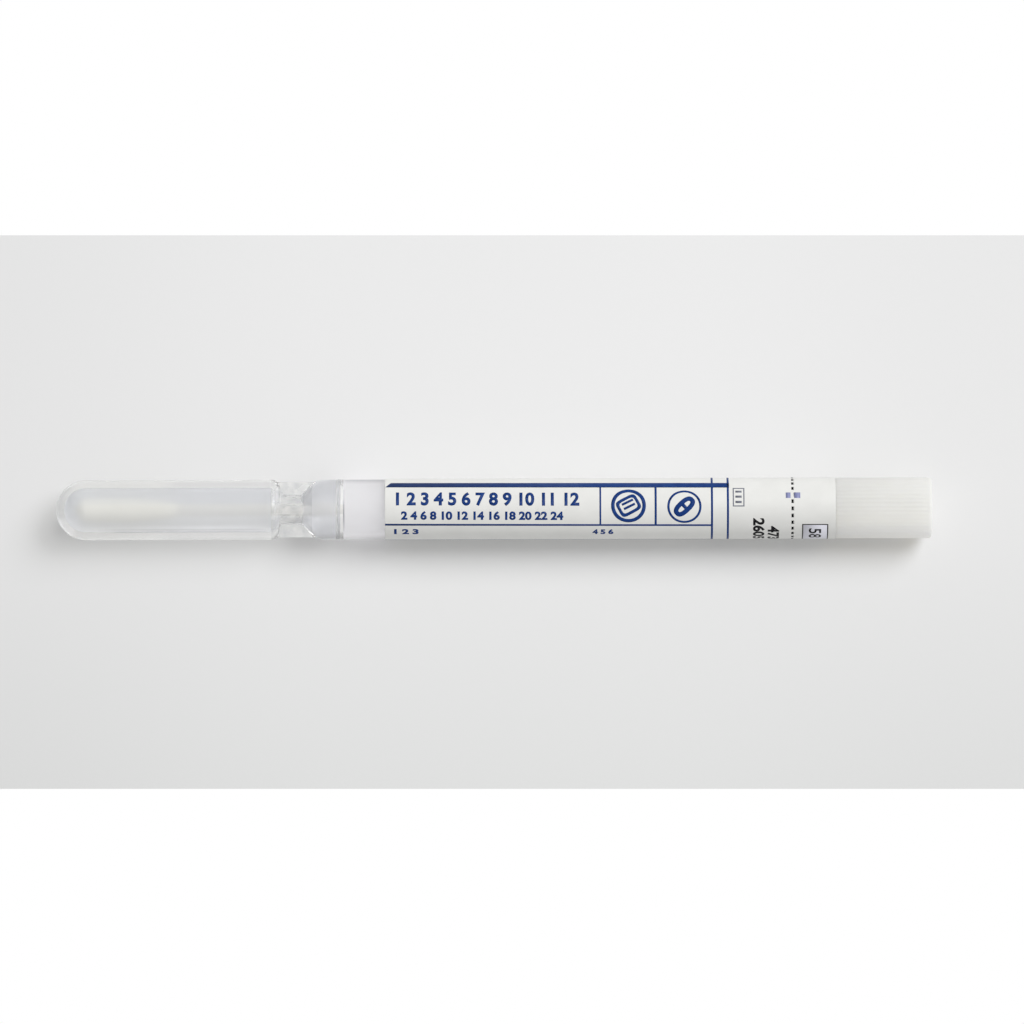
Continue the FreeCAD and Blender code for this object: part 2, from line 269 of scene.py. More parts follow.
def noise_node(tree, vector, size, detail, distortion=0.0):
    """One Noise Texture node, as a value about one half."""
    node = tree.nodes.new("ShaderNodeTexNoise")
    node.inputs["Detail"].default_value = detail
    node.inputs["Distortion"].default_value = distortion
    feed(tree, node.inputs["Vector"], vector)
    feed(tree, node.inputs["Scale"], size)
    return node.outputs[0]


def rise_node(tree, value, low, high, smooth=True):
    """One Map Range node: 0 below low, 1 above high, and an S or a straight line between."""
    node = tree.nodes.new("ShaderNodeMapRange")
    node.interpolation_type = "SMOOTHSTEP" if smooth else "LINEAR"
    node.inputs["From Min"].default_value = low
    node.inputs["From Max"].default_value = high
    feed(tree, node.inputs["Value"], value)
    return node.outputs[0]


def mix_node(tree, factor, first, second, blend="MIX"):
    """One colour Mix node, each input a socket or a value."""
    node = tree.nodes.new("ShaderNodeMix")
    node.data_type = "RGBA"
    node.blend_type = blend
    for name, value in (("Factor", factor), ("A", first), ("B", second)):
        feed(tree, node.inputs[name], value)
    return node.outputs["Result"]


def build_grain_group():
    """Grain: a coarse and a fine noise added in a given share, as a height about one half."""
    group, source, sink = start_group(
        "grain",
        [("Vector", "NodeSocketVector", None), ("Coarse", "NodeSocketFloat", 400.0),
         ("Fine", "NodeSocketFloat", 3000.0), ("Fine Share", "NodeSocketFloat", 0.5)],
        [("Height", "NodeSocketFloat")])
    share = source.outputs["Fine Share"]
    coarse, fine = (noise_node(group, source.outputs["Vector"], source.outputs[size], 3)
                    for size in ("Coarse", "Fine"))
    fine = math_node(group, "MULTIPLY", fine, share)
    coarse = math_node(group, "MULTIPLY", coarse, math_node(group, "SUBTRACT", 1.0, share))
    group.links.new(math_node(group, "ADD", fine, coarse), sink.inputs["Height"])
    return group


def build_smudge_group():
    """Smudges: soft patches of handling, as a roughness that rises from a clean to a dull value."""
    group, source, sink = start_group(
        "smudges",
        [("Vector", "NodeSocketVector", None), ("Size", "NodeSocketFloat", 90.0),
         ("Clean", "NodeSocketFloat", 0.3), ("Dull", "NodeSocketFloat", 0.5)],
        [("Roughness", "NodeSocketFloat")])
    noise = noise_node(group, source.outputs["Vector"], source.outputs["Size"], 4, distortion=0.6)
    patch = rise_node(group, noise, 0.42, 0.68)
    spread = math_node(group, "SUBTRACT", source.outputs["Dull"], source.outputs["Clean"])
    risen = math_node(group, "MULTIPLY", spread, patch)
    group.links.new(math_node(group, "ADD", source.outputs["Clean"], risen), sink.inputs["Roughness"])
    return group


def build_mottle_group():
    """Mottle: a colour that drifts to a second one in soft clouds."""
    group, source, sink = start_group(
        "mottle",
        [("Vector", "NodeSocketVector", None), ("Size", "NodeSocketFloat", 200.0),
         ("Color A", "NodeSocketColor", None), ("Color B", "NodeSocketColor", None)],
        [("Color", "NodeSocketColor")])
    noise = noise_node(group, source.outputs["Vector"], source.outputs["Size"], 3)
    cloud = rise_node(group, noise, 0.35, 0.65, smooth=False)
    group.links.new(mix_node(group, cloud, source.outputs["Color A"], source.outputs["Color B"]),
                    sink.inputs["Color"])
    return group


def build_painted_band_group():
    """Painted band: a mask for a soft-edged band at an angle round the tube, between two places along X,
    where a finish is given painted light and shade.

    The mask is the product of three S curves: one falls over the outer four fifths of the band's half width,
    and the others rise over 6 mm from either end.
    """
    group, source, sink = start_group(
        "painted_band",
        [("Vector", "NodeSocketVector", None), ("Angle", "NodeSocketFloat", 0.0),
         ("Half Width", "NodeSocketFloat", 0.1), ("Start", "NodeSocketFloat", 0.0),
         ("End", "NodeSocketFloat", 0.0)],
        [("Mask", "NodeSocketFloat")])
    side_fade, end_fade = 0.8, 6 * MM
    parts = group.nodes.new("ShaderNodeSeparateXYZ")
    group.links.new(source.outputs["Vector"], parts.inputs[0])
    height = math_node(group, "SUBTRACT", parts.outputs["Z"], AXIS_HEIGHT)
    turn = math_node(group, "ARCTAN2", parts.outputs["Y"], height)
    off = math_node(group, "ABSOLUTE", math_node(group, "SUBTRACT", turn, source.outputs["Angle"]))
    within = math_node(group, "SUBTRACT", 1.0, math_node(group, "DIVIDE", off, source.outputs["Half Width"]))
    past_start = math_node(group, "SUBTRACT", parts.outputs["X"], source.outputs["Start"])
    before_end = math_node(group, "SUBTRACT", source.outputs["End"], parts.outputs["X"])
    mask = 1.0
    for distance, fade in ((within, side_fade), (past_start, end_fade), (before_end, end_fade)):
        mask = math_node(group, "MULTIPLY", mask, rise_node(group, distance, 0.0, fade))
    group.links.new(mask, sink.inputs["Mask"])
    return group


GRAIN = build_grain_group()
SMUDGES = build_smudge_group()
MOTTLE = build_mottle_group()
PAINTED_BAND = build_painted_band_group()


def place_group(tree, group, vector, **values):
    """An instance of a node group, fed with a position and given its own values."""
    node = tree.nodes.new("ShaderNodeGroup")
    node.node_tree = group
    tree.links.new(vector, node.inputs["Vector"])
    for name, value in values.items():
        node.inputs[name.replace("_", " ")].default_value = value
    return node


def make_finish(name, color_a, color_b, mottle, rough, grain, bump, stretch=(1, 1, 1), **sockets):
    """A finish: mottled colour, smudged roughness, grain as bump, and plain values for the other sockets.

    Rough is the roughness between the smudges and in them. Mottle is the scale of the clouds of colour, grain
    those of its coarse and fine noise, and bump the grain's height in millimetres.
    """
    material = bpy.data.materials.new(name)
    material.use_nodes = True
    tree = material.node_tree
    shader = tree.nodes["Principled BSDF"]
    place = tree.nodes.new("ShaderNodeTexCoord")
    mapping = tree.nodes.new("ShaderNodeMapping")
    mapping.inputs["Scale"].default_value = stretch
    tree.links.new(place.outputs["Object"], mapping.inputs["Vector"])
    vector = mapping.outputs[0]
    clouds = place_group(tree, MOTTLE, vector, Size=mottle, Color_A=color_a, Color_B=color_b)
    tree.links.new(clouds.outputs["Color"], shader.inputs["Base Color"])
    smudges = place_group(tree, SMUDGES, vector, Clean=rough[0], Dull=rough[1])
    tree.links.new(smudges.outputs["Roughness"], shader.inputs["Roughness"])
    relief = place_group(tree, GRAIN, vector, Coarse=grain[0], Fine=grain[1])
    height = tree.nodes.new("ShaderNodeBump")
    height.inputs["Distance"].default_value = bump * MM
    tree.links.new(relief.outputs["Height"], height.inputs["Height"])
    tree.links.new(height.outputs[0], shader.inputs["Normal"])
    for socket, value in sockets.items():
        shader.inputs[socket.replace("_", " ")].default_value = value
    return material


def paint_light_and_shade(material, painted_bands):
    """Paint light and shade in soft-edged bands over a finish's colour, each (angle, half width, start, end,
    colour).

    The first two are in degrees round the tube, and the next two are stations.
    """
    tree = material.node_tree
    shader = tree.nodes["Principled BSDF"]
    place = tree.nodes.new("ShaderNodeTexCoord")
    color = shader.inputs["Base Color"].links[0].from_socket
    for angle, half_width, start, end, tone in painted_bands:
        band = place_group(tree, PAINTED_BAND, place.outputs["Object"], Angle=math.radians(angle),
                           Half_Width=math.radians(half_width), Start=CLOSED_END + start * MM,
                           End=CLOSED_END + end * MM)
        color = mix_node(tree, band.outputs["Mask"], color, tone)
    tree.links.new(color, shader.inputs["Base Color"])
    return material


def mix_shaders(tree, factor, first, second):
    """One Mix Shader node: the first shader, and as much of the second as the factor says."""
    node = tree.nodes.new("ShaderNodeMixShader")
    feed(tree, node.inputs[0], factor)
    tree.links.new(first, node.inputs[1])
    tree.links.new(second, node.inputs[2])
    return node.outputs[0]


def let_light_through(material, tint, share=1.0, glow=0.0, glow_color=(1, 0.995, 0.98, 1), matt=False,
                      shade_all=False):
    """Let light to and from matt surfaces pass straight through the piece.

    The tint dims a lamp's light on its way to what is seen directly, and the surround's too if it shades all.
    The share is how much light passes, the glow how much light from behind shows on the surface, and a matt
    piece stops all but a lamp's own light. Where the share is one, a ray that has turned often enough goes
    straight on too, so that none is caught inside and ends up black.
    """
    first_turn, last_turn = 1.5, 5.5
    tree = material.node_tree
    surface = tree.nodes["Principled BSDF"].outputs[0]
    if glow:
        backlit = tree.nodes.new("ShaderNodeBsdfTranslucent")
        backlit.inputs["Color"].default_value = glow_color
        surface = mix_shaders(tree, glow, surface, backlit.outputs[0])
    path = tree.nodes.new("ShaderNodeLightPath")
    from_lamp = path.outputs["Is Shadow Ray"]
    from_anywhere = math_node(tree, "MAXIMUM", from_lamp, path.outputs["Is Diffuse Ray"])
    seen_directly = math_node(tree, "LESS_THAN", path.outputs["Ray Depth"], first_turn)
    shaded = math_node(tree, "MULTIPLY", from_anywhere if shade_all else from_lamp, seen_directly)
    open_air = tree.nodes.new("ShaderNodeBsdfTransparent")
    tree.links.new(mix_node(tree, shaded, (1, 1, 1, 1), tint), open_air.inputs["Color"])
    straight = math_node(tree, "MULTIPLY", from_lamp if matt else from_anywhere, share)
    if share == 1:
        worn_out = math_node(tree, "GREATER_THAN", path.outputs["Ray Depth"], last_turn)
        straight = math_node(tree, "MAXIMUM", straight, worn_out)
    tree.links.new(mix_shaders(tree, straight, surface, open_air.outputs[0]),
                   tree.nodes["Material Output"].inputs["Surface"])
    return material


MOULDED_WALL = dict(mottle=60, grain=(120, 900), bump=0.012, stretch=(0.4, 1, 1),
                    Transmission_Weight=0.94, IOR=1.52)
CLOUDY_GEL = dict(mottle=110, rough=(0.3, 0.38), grain=(90, 700), bump=0.01, Transmission_Weight=0.86,
                  IOR=1.34, Subsurface_Weight=1.0, Subsurface_Scale=0.02, Subsurface_Radius=(1.0, 1.0, 1.0))

# Painted shade: dark lines along both sides of the tube from the neck on, where the wall's edges show dark.
CLEAR_PLASTIC = let_light_through(
    paint_light_and_shade(
        make_finish("clear_tube_plastic", (0.985, 0.985, 0.98, 1), (0.97, 0.975, 0.975, 1),
                    rough=(0.06, 0.11), **MOULDED_WALL),
        [(-84, 32, 44, 75, (0.40, 0.40, 0.40, 1)), (84, 28, 53.5, 75, (0.40, 0.40, 0.42, 1))]),
    (0.77, 0.77, 0.76, 1))
# Painted shade and light on the chamber's wall: the closed end darkened, most on the side away from the lamp;
# darker bands along both sides and a darker edge on the side away from the lamp; a painted highlight line on
# that side, with a painted dark line next to it.
CHAMBER_PLASTIC = let_light_through(
    paint_light_and_shade(
        make_finish("chamber_plastic", (0.93, 0.93, 0.92, 1), (0.91, 0.915, 0.905, 1),
                    rough=(0.07, 0.12), **MOULDED_WALL),
        [(-62, 50, -10, 9, (0.82, 0.82, 0.82, 1)), (0, 900, -10, 5.4, (0.58, 0.59, 0.60, 1)),
         (58, 16, 20, 50, (0.78, 0.78, 0.79, 1)), (-56, 20, 18, 50, (0.80, 0.80, 0.80, 1)),
         (-79, 17, 20, 50, (0.62, 0.62, 0.62, 1)), (-35, 7, 14, 43, (1.0, 1.0, 1.0, 1)),
         (-47.5, 4, 8, 46, (0.64, 0.64, 0.66, 1))]),
    (0.77, 0.77, 0.762, 1))
NECK_PLASTIC = let_light_through(
    make_finish("neck_plastic", (0.95, 0.95, 0.935, 1), (0.73, 0.74, 0.75, 1), mottle=620,
                rough=(0.22, 0.30), grain=(200, 900), bump=0.05, Transmission_Weight=0.85, IOR=1.47),
    (0.82, 0.82, 0.815, 1))
FROSTED_BORE = let_light_through(
    make_finish("frosted_bore", (0.985, 0.98, 1.0, 1), (0.97, 0.965, 0.985, 1), mottle=300,
                rough=(0.45, 0.55), grain=(1500, 6000), bump=0.01, Transmission_Weight=0.14, IOR=1.47),
    (0.60, 0.60, 0.605, 1), glow=0.68, glow_color=(0.985, 0.98, 1.0, 1), matt=True)
# Painted shade: the dry band next to the gel's edge, laid only on the side that faces up and darkened most at
# the top, stands for the dark line that the gel's edge shows through the wall.
MENISCUS_SHADE = let_light_through(
    paint_light_and_shade(
        make_finish("meniscus_shade", srgb(222, 222, 226), srgb(214, 214, 219), mottle=300, rough=(0.4, 0.5),
                    grain=(1500, 6000), bump=0.01, Transmission_Weight=0.3, IOR=1.47),
        [(-8, 42, 40, 70, srgb(142, 141, 150))]),
    (0.6, 0.6, 0.61, 1))
# Painted light and shade on the gel: its side away from the lamp and a band along its top over the swab are
# painted white, a painted dark line runs near its edge on the side away from the lamp, and only the lamp's
# side keeps the darker base colour.
GEL = let_light_through(
    paint_light_and_shade(
        make_finish("clear_gel", (0.825, 0.84, 0.90, 1), (0.80, 0.82, 0.885, 1), stretch=(0.5, 1, 1),
                    **CLOUDY_GEL),
        [(-50, 85, 2, 47, (1.0, 1.0, 1.0, 1)), (2, 26, 2, 47, (1.0, 1.0, 0.99, 1)),
         (-80, 12, 8, 44, (0.55, 0.55, 0.57, 1))]),
    (0.85, 0.85, 0.86, 1), glow=0.44, glow_color=(0.955, 0.97, 1.0, 1))
# Painted shade: the gel in the funnel is darkened along both its sides.
FUNNEL_GEL = let_light_through(
    paint_light_and_shade(
        make_finish("funnel_gel", (0.82, 0.83, 0.865, 1), (0.79, 0.80, 0.845, 1), **CLOUDY_GEL),
        [(48, 34, 40, 70, (0.64, 0.65, 0.69, 1)), (-50, 30, 40, 70, (0.70, 0.71, 0.75, 1))]),
    (0.53, 0.53, 0.54, 1), glow=0.25, glow_color=(0.88, 0.89, 0.93, 1), shade_all=True)
NECK_GEL = let_light_through(
    make_finish("neck_gel", (0.93, 0.93, 0.94, 1), (0.91, 0.91, 0.92, 1), mottle=110, rough=(0.06, 0.12),
                grain=(300, 900), bump=0.01, Transmission_Weight=0.9, IOR=1.34),
    (0.85, 0.85, 0.86, 1))
# Painted shade: the gel's free surface is tinted darker than the gel itself, so that the ring at the gel's
# edge shows dark.
GEL_SURFACE = let_light_through(
    make_finish("gel_free_surface", (0.77, 0.775, 0.79, 1), (0.74, 0.75, 0.77, 1), mottle=110,
                rough=(0.05, 0.1), grain=(90, 700), bump=0.01, Transmission_Weight=0.95, IOR=1.34),
    (0.9, 0.9, 0.91, 1))
AIR = let_light_through(
    make_finish("bubble_air", (1.0, 1.0, 1.0, 1), (0.98, 0.985, 0.99, 1), mottle=400, rough=(0.03, 0.08),
                grain=(900, 4000), bump=0.001, Transmission_Weight=1.0, IOR=0.75),
    (1.0, 1.0, 1.0, 1))
PAPER = let_light_through(
    make_finish("label_paper", srgb(230, 230, 227), srgb(226, 226, 223), mottle=240, rough=(0.36, 0.48),
                grain=(900, 5000), bump=0.006, Specular_IOR_Level=0.5),
    (0.2, 0.2, 0.2, 1), share=0.7, matt=True)
# Painted light: the cap's side away from the lamp is painted lighter and warmer.
CAP_PLASTIC = let_light_through(
    paint_light_and_shade(
        make_finish("cap_plastic", srgb(233, 233, 231), srgb(229, 229, 226), mottle=150,
                    rough=(0.45, 0.58), grain=(700, 4200), bump=0.008, Subsurface_Weight=1.0,
                    Subsurface_Scale=0.0015, Subsurface_Radius=(1.0, 1.0, 0.95), Specular_IOR_Level=0.3),
        [(-90, 110, 130, 190, (1.0, 0.99, 0.945, 1))]),
    (0.66, 0.58, 0.30, 1), share=0.45, glow=0.36, glow_color=(1, 0.995, 0.985, 1))
SHAFT_PLASTIC = let_light_through(
    make_finish("shaft_plastic", srgb(226, 225, 221), srgb(219, 218, 213), mottle=200, rough=(0.35, 0.5),
                grain=(900, 5000), bump=0.008, stretch=(0.2, 1, 1), Subsurface_Weight=0.2,
                Subsurface_Scale=0.001, Subsurface_Radius=(1.0, 1.0, 1.0)),
    (1, 1, 1, 1), share=0.6, glow=0.5)
BUD_FIBRE = let_light_through(
    make_finish("bud_fibre", srgb(246, 244, 234), srgb(240, 238, 227), mottle=900, rough=(0.85, 0.95),
                grain=(1800, 9000), bump=0.05, stretch=(1, 1, 0.5), Sheen_Weight=0.4, Sheen_Roughness=0.5),
    (1, 1, 1, 1), share=0.5, glow=0.2, glow_color=(1, 0.99, 0.95, 1))


def make_ink(name, color_a, color_b, mottle=700, clean=0.4, **sockets):
    """A thin, slightly uneven layer of ink, with a fine grain."""
    return make_finish(name, color_a, color_b, mottle=mottle, rough=(clean, 0.5), grain=(1500, 7000),
                       bump=0.002, **sockets)


NAVY_INK = make_ink("navy_ink", srgb(8, 49, 113), srgb(16, 57, 121), clean=0.38, Specular_IOR_Level=0.15)
LAVENDER_INK = make_ink("lavender_ink", srgb(128, 133, 176), srgb(138, 142, 182))
PALE_INK = make_ink("pale_ink", srgb(230, 230, 240), srgb(226, 226, 236))
GREY_INK = make_ink("grey_ink", srgb(104, 107, 120), srgb(114, 117, 130))
BLACK_INK = make_ink("black_ink", srgb(10, 10, 13), srgb(18, 18, 22), mottle=900, clean=0.35,
                     Specular_IOR_Level=0.1)


# ---------------------------------------------------------------- the tube

def tube_angles():
    """Angles round the tube, closer together at the sides of the four fins."""
    quarter = np.concatenate([np.linspace(0, 7, 5), np.linspace(7.6, 19, 18), np.linspace(21, 43, 11)])
    eighth = np.concatenate([quarter, 90 - quarter[:0:-1]])
    return np.radians((eighth[None, :] + np.arange(4)[:, None] * 90).ravel())


def fin_reach(angle):
    """How far the fins reach at each angle: their rim, or where the ray leaves a fin's flat side."""
    off_fin = np.abs((angle + math.pi / 4) % (math.pi / 2) - math.pi / 4)
    side = FIN_HALF / np.maximum(np.sin(off_fin), 1e-3)
    return -smooth_max(-side, np.full_like(side, -FIN_RIM), 0.7)


def bore_corners(past):
    """Corners of the bore's outline from the mouth's side to the closed end, set that far into the wall."""
    half_slope = math.tan(FUNNEL_SLOPE / 2)
    slant = past * half_slope
    inner_round = FUNNEL_ROUND - (TUBE_RADIUS - BORE_RADIUS)
    chamber = CHAMBER_RADIUS + past
    neck = NECK_BORE + past
    cone_top = FUNNEL_END - inner_round * half_slope
    cone_foot = cone_top - (BORE_RADIUS - NECK_BORE)
    return [(cone_top - slant, BORE_RADIUS + past, inner_round - past), (cone_foot - slant, neck, 0.5),
            (CHAMBER_END + past, neck, 0.25), (CHAMBER_END + past - 0.04, chamber, 0.3),
            (END_WALL - past, chamber, chamber), (END_WALL - past, 0)]


def make_tube():
    """Radius by station and angle: the turned outline, raised to the fins between shoulder and funnel."""
    cone_top = FUNNEL_END - FUNNEL_ROUND * math.tan(FUNNEL_SLOPE / 2)
    cone_foot = cone_top - (TUBE_RADIUS - NECK_RADIUS)
    shoulder_round, chamfer = 1.6, 0.3
    outside = rounded_path([
        (0, 0), (0, TUBE_RADIUS, TUBE_RADIUS), (SHOULDER_FACE, TUBE_RADIUS, shoulder_round),
        (SHOULDER_FACE + 0.12, NECK_RADIUS, 0.4), (cone_foot, NECK_RADIUS, 0.6),
        (cone_top, TUBE_RADIUS, FUNNEL_ROUND), (MOUTH, TUBE_RADIUS, 0.1),
        (MOUTH, BORE_RADIUS + chamfer), (MOUTH - chamfer, BORE_RADIUS)], arc_steps=18)
    outside = subdivide_path(outside, SHOULDER_FACE - shoulder_round, FUNNEL_END, 0.16)
    dry_bore = [(MOUTH - chamfer, BORE_RADIUS), (FROST_START + SHADED_BAND_WIDTH, BORE_RADIUS),
                (FROST_START, BORE_RADIUS), (GEL_EDGE, BORE_RADIUS)]
    inside = rounded_path(dry_bore + bore_corners(0), arc_steps=18)
    path = np.concatenate([outside[1:], inside[1:-1]])
    angle = tube_angles()
    station = path[:, 0][:, None]
    radius = np.repeat(path[:, 1][:, None], len(angle), axis=1)
    rows = np.arange(len(path))[:, None]
    finned = (rows < len(outside) - 1) & (station > FIN_START) & (station < FIN_END)
    fins = np.broadcast_to(fin_reach(angle), radius.shape)
    radius = np.where(finned, smooth_max(radius, fins, 0.3), radius)
    ripple = 0.012 * np.sin(station * 0.9 + 2 * angle) * np.sin(3 * angle + 0.4) * ramp(radius, 3.5, 5)
    radius = radius - np.where(rows >= len(outside), np.abs(ripple), 0)
    rings = on_tube(station, angle, radius)
    points, faces = capped_rings(rings, on_tube(0, 0, 0), on_tube(END_WALL, 0, 0))
    finishes = [CLEAR_PLASTIC, FROSTED_BORE, MENISCUS_SHADE, NECK_PLASTIC, CHAMBER_PLASTIC]
    tube = make_piece("tube_wall", points, faces, finishes, "tube_body", ["tube"])
    # Each band of faces takes its finish from the ring it starts at.
    station, outer = station[:-1], rows[:-1] < len(outside) - 1
    dry = ~outer & (station > FROST_START + 0.01)
    # The painted shade for the gel's edge goes only on the side of the dry band that faces up.
    shade_turn, shade_reach = -0.06, 0.85
    upper_side = np.cos(angle - shade_turn)[None, :] > math.cos(shade_reach)
    shaded_band = dry & (station < FROST_START + SHADED_BAND_WIDTH + 0.01) & upper_side
    neck = outer & (station > CHAMBER_FINISH_END) & (station < NECK_FINISH_END)
    chamber = outer & (station <= CHAMBER_FINISH_END)
    quads = (dry.astype(np.int32) + shaded_band + 3 * neck + 4 * chamber).ravel()
    fans = np.repeat([4, 0], len(angle)).astype(np.int32)
    tube.data.polygons.foreach_set("material_index", np.concatenate([quads, fans]))
    return tube


def make_gel():
    """The bore's own outline, a little into the wall, and a free surface that climbs the wall.

    The surface rises with the seventh power of the radius.
    """
    past, climb = 0.012, 0.9
    wall = BORE_RADIUS + past
    outline = rounded_path([(GEL_EDGE, wall), (MENISCUS_FOOT, wall)] + bore_corners(past), arc_steps=18)[::-1]
    radius = (1 - np.linspace(1, 0, 30)[1:-1] ** 1.6) * wall
    dip = GEL_EDGE - climb * (1 - (radius / wall) ** 7)
    path = np.concatenate([outline[1:], np.stack([dip, radius], axis=-1)[::-1]])
    angle = np.linspace(0, 2 * math.pi, 160, endpoint=False)
    sway = 0.08 * np.cos(angle - 0.7) * ramp(path[:, 0], 55, GEL_EDGE)[:, None]
    rings = on_tube(path[:, 0][:, None] + sway, angle, path[:, 1][:, None])
    points, faces = capped_rings(rings, on_tube(END_WALL - past, 0, 0), on_tube(GEL_EDGE - climb, 0, 0))
    finishes = [GEL, GEL_SURFACE, NECK_GEL, FUNNEL_GEL]
    gel = make_piece("gel_filling", points, faces, finishes, "tube_body", ["gel"])
    station = path[:-1, 0]
    free = station > MENISCUS_FOOT - 0.01
    free |= np.arange(len(station)) >= len(station) - len(radius)
    neck = (station > CHAMBER_END - 0.5) & (station < NECK_GEL_END)
    funnel = (station >= NECK_GEL_END) & ~free
    fans = np.repeat([0, 1], len(angle))
    surface = np.concatenate([np.repeat(free + 2 * neck + 3 * funnel, len(angle)), fans]).astype(np.int32)
    gel.data.polygons.foreach_set("material_index", surface)
    return gel


def make_bubbles():
    """Air caught where the bore narrows: spheres of latitude rings, each drawn out along the tube.

    A spot is (station, across, up, radius).
    """
    spots = [(44.9, 1.5, 0.9, 0.30), (45.5, 0.7, 1.4, 0.38), (44.8, -0.35, 1.2, 0.26),
             (46.3, 1.2, 0.6, 0.20), (46.6, -1.0, 1.0, 0.24), (45.2, -1.5, 0.4, 0.32),
             (48.3, -1.2, 0.9, 0.34), (49.4, 0.3, 1.5, 0.22), (50.3, -2.2, 1.1, 0.30),
             (47.5, 0.2, 1.6, 0.16), (51.4, 2.4, 1.6, 0.18), (42.6, 1.9, 1.3, 0.22),
             (42.2, -1.2, 2.0, 0.16), (50.9, -3.0, 0.4, 0.24)]
    tilt = np.linspace(0, math.pi, 19)[1:-1][:, None]
    turn = np.linspace(0, 2 * math.pi, 28, endpoint=False)[None, :]
    axes = -np.cos(tilt), np.sin(tilt) * np.sin(turn), np.sin(tilt) * np.cos(turn)
    ball = np.stack(np.broadcast_arrays(*axes), axis=-1)
    points, faces = [], []
    for station, across, up, radius in spots:
        centre = np.array([CLOSED_END + station * MM, across * MM, AXIS_HEIGHT + up * MM])
        reach = np.array([1.15, 1, 1]) * radius * MM
        ends = centre - reach * (1, 0, 0), centre + reach * (1, 0, 0)
        ball_points, ball_faces = capped_rings(centre + ball * reach, *ends)
        first = sum(len(group) for group in points)
        points.append(ball_points)
        faces += [[corner + first for corner in face] for face in ball_faces]
    return make_piece("gel_bubbles", np.concatenate(points), faces, [AIR], "tube_body")


# ---------------------------------------------------------------- the swab and the cap

def make_shaft():
    """A rod of even radius with rounded ends, drawn out so that it swells and thins by a hundredth."""
    path = rounded_path([(SHAFT_START, 0), (SHAFT_START, SHAFT_RADIUS, 0.3), (SHAFT_END, SHAFT_RADIUS, 0.2),
                         (SHAFT_END, 0)])
    path = subdivide_path(path, SHAFT_START + 0.4, SHAFT_END - 0.3, 4.0)[1:-1]
    angle = np.linspace(0, 2 * math.pi, 48, endpoint=False)
    station = path[:, 0][:, None]
    radius = path[:, 1][:, None] - 0.008 * (1 + np.sin(station * 0.35 + angle))
    ends = on_tube(SHAFT_START, 0, 0), on_tube(SHAFT_END, 0, 0)
    points, faces = capped_rings(on_tube(station, angle, radius), *ends)
    return make_piece("swab_rod", points, faces, [SHAFT_PLASTIC], "cap_and_swab",
                      ["swab_shaft"])


def make_bud():
    """Wound fibre: the bud's outline less ridges that run round it as two crossing uneven spirals."""
    outline = [(BUD_START, 0), (BUD_START, BUD_RADIUS, 1.75), (15, BUD_RADIUS, 6), (22, 1.35, 3),
               (BUD_END, 1.12, 0.1), (BUD_END, SHAFT_RADIUS)]
    path = subdivide_path(rounded_path(outline, arc_steps=14), BUD_START + 0.1, BUD_END, 0.14)[1:]
    angle = np.linspace(0, 2 * math.pi, 120, endpoint=False)
    station = path[:, 0][:, None]
    wind = np.sin(5 * angle + station * 4.2) * 0.5 + np.sin(3 * angle - station * 6.3 + 1.0) * 0.5
    lumps = np.sin(2 * angle + station * 0.8) * np.sin(station * 1.7 + 0.5)
    radius = path[:, 1][:, None] - ramp(path[:, 1][:, None], 0.2, 1.2) * (0.05 + 0.035 * wind + 0.02 * lumps)
    ends = on_tube(BUD_START, 0, 0), on_tube(BUD_END - 0.5, 0, 0)
    points, faces = capped_rings(on_tube(station, angle, radius), *ends)
    return make_piece("swab_fibre_bud", points, faces, [BUD_FIBRE], "cap_and_swab", ["swab_bud"])


def make_cap():
    """The turned outline of socket, plug, collar and grip, raised to ribs of the angle along the grip."""
    socket_end, socket, boss = SHAFT_END + 0.1, SHAFT_RADIUS + 0.02, 2.12
    core_end, core, plug = 173, 4.05, BORE_RADIUS - 0.05
    dish, gate = CAP_END - 0.3, CAP_END - 0.1
    outline = [
        (socket_end, 0), (socket_end, socket, 0.1), (PLUG_START, socket, 0.1), (PLUG_START, boss, 0.2),
        (core_end, boss, 0.3), (core_end, core, 0.3), (PLUG_START, core, 0.1), (PLUG_START, plug - 0.4),
        (PLUG_START + 0.4, plug), (MOUTH, plug, 0.05), (MOUTH, TUBE_RADIUS, 0.08),
        (GRIP_START, TUBE_RADIUS), (GRIP_START + 0.14, TUBE_RADIUS), (CAP_END - 0.75, TUBE_RADIUS),
        (CAP_END, TUBE_RADIUS, 0.4), (CAP_END, 4.7, 0.2), (dish, 4.4, 0.15), (dish, 0.9, 0.1),
        (gate, 0.75, 0.08), (gate, 0)]
    path = rounded_path(outline, arc_steps=6)[1:-1]
    columns = RIBS * 12
    angle = np.arange(columns) / columns * 2 * math.pi
    station = path[:, 0][:, None]
    pitch = 2 * math.pi * TUBE_RADIUS / RIBS
    # A rib's crest is half a pitch off the top, so a valley lies underneath too.
    off_crest = pitch / 2 - np.abs((angle * RIBS / (2 * math.pi) + 0.5) % 1 - 0.5) * pitch
    rib = 0.03 + 0.045 * (1 - ramp(off_crest, 0.02, 0.43))
    along = ramp(station, GRIP_START, GRIP_START + 0.14) * (1 - ramp(station, CAP_END - 0.8, CAP_END - 0.4))
    radius = path[:, 1][:, None] + np.where(path[:, 1][:, None] > 5.5, rib * along, 0)
    rings = on_tube(station, angle, radius)
    points, faces = capped_rings(rings, on_tube(socket_end, 0, 0), on_tube(gate, 0, 0))
    return make_piece("ribbed_cap", points, faces, [CAP_PLASTIC], "cap_and_swab", ["cap"])


# ---------------------------------------------------------------- the label

def cut_edge(angle):
    """How far paper reaches over the perforation at each angle: to its middle at a bridge, not at a slit."""
    arc = np.abs(((angle * PAPER_OUTSIDE - DASH_PHASE) / DASH_PITCH + 0.5) % 1 - 0.5) * DASH_PITCH
    return CUT_HALF * ramp(arc, 0.4, 0.46)


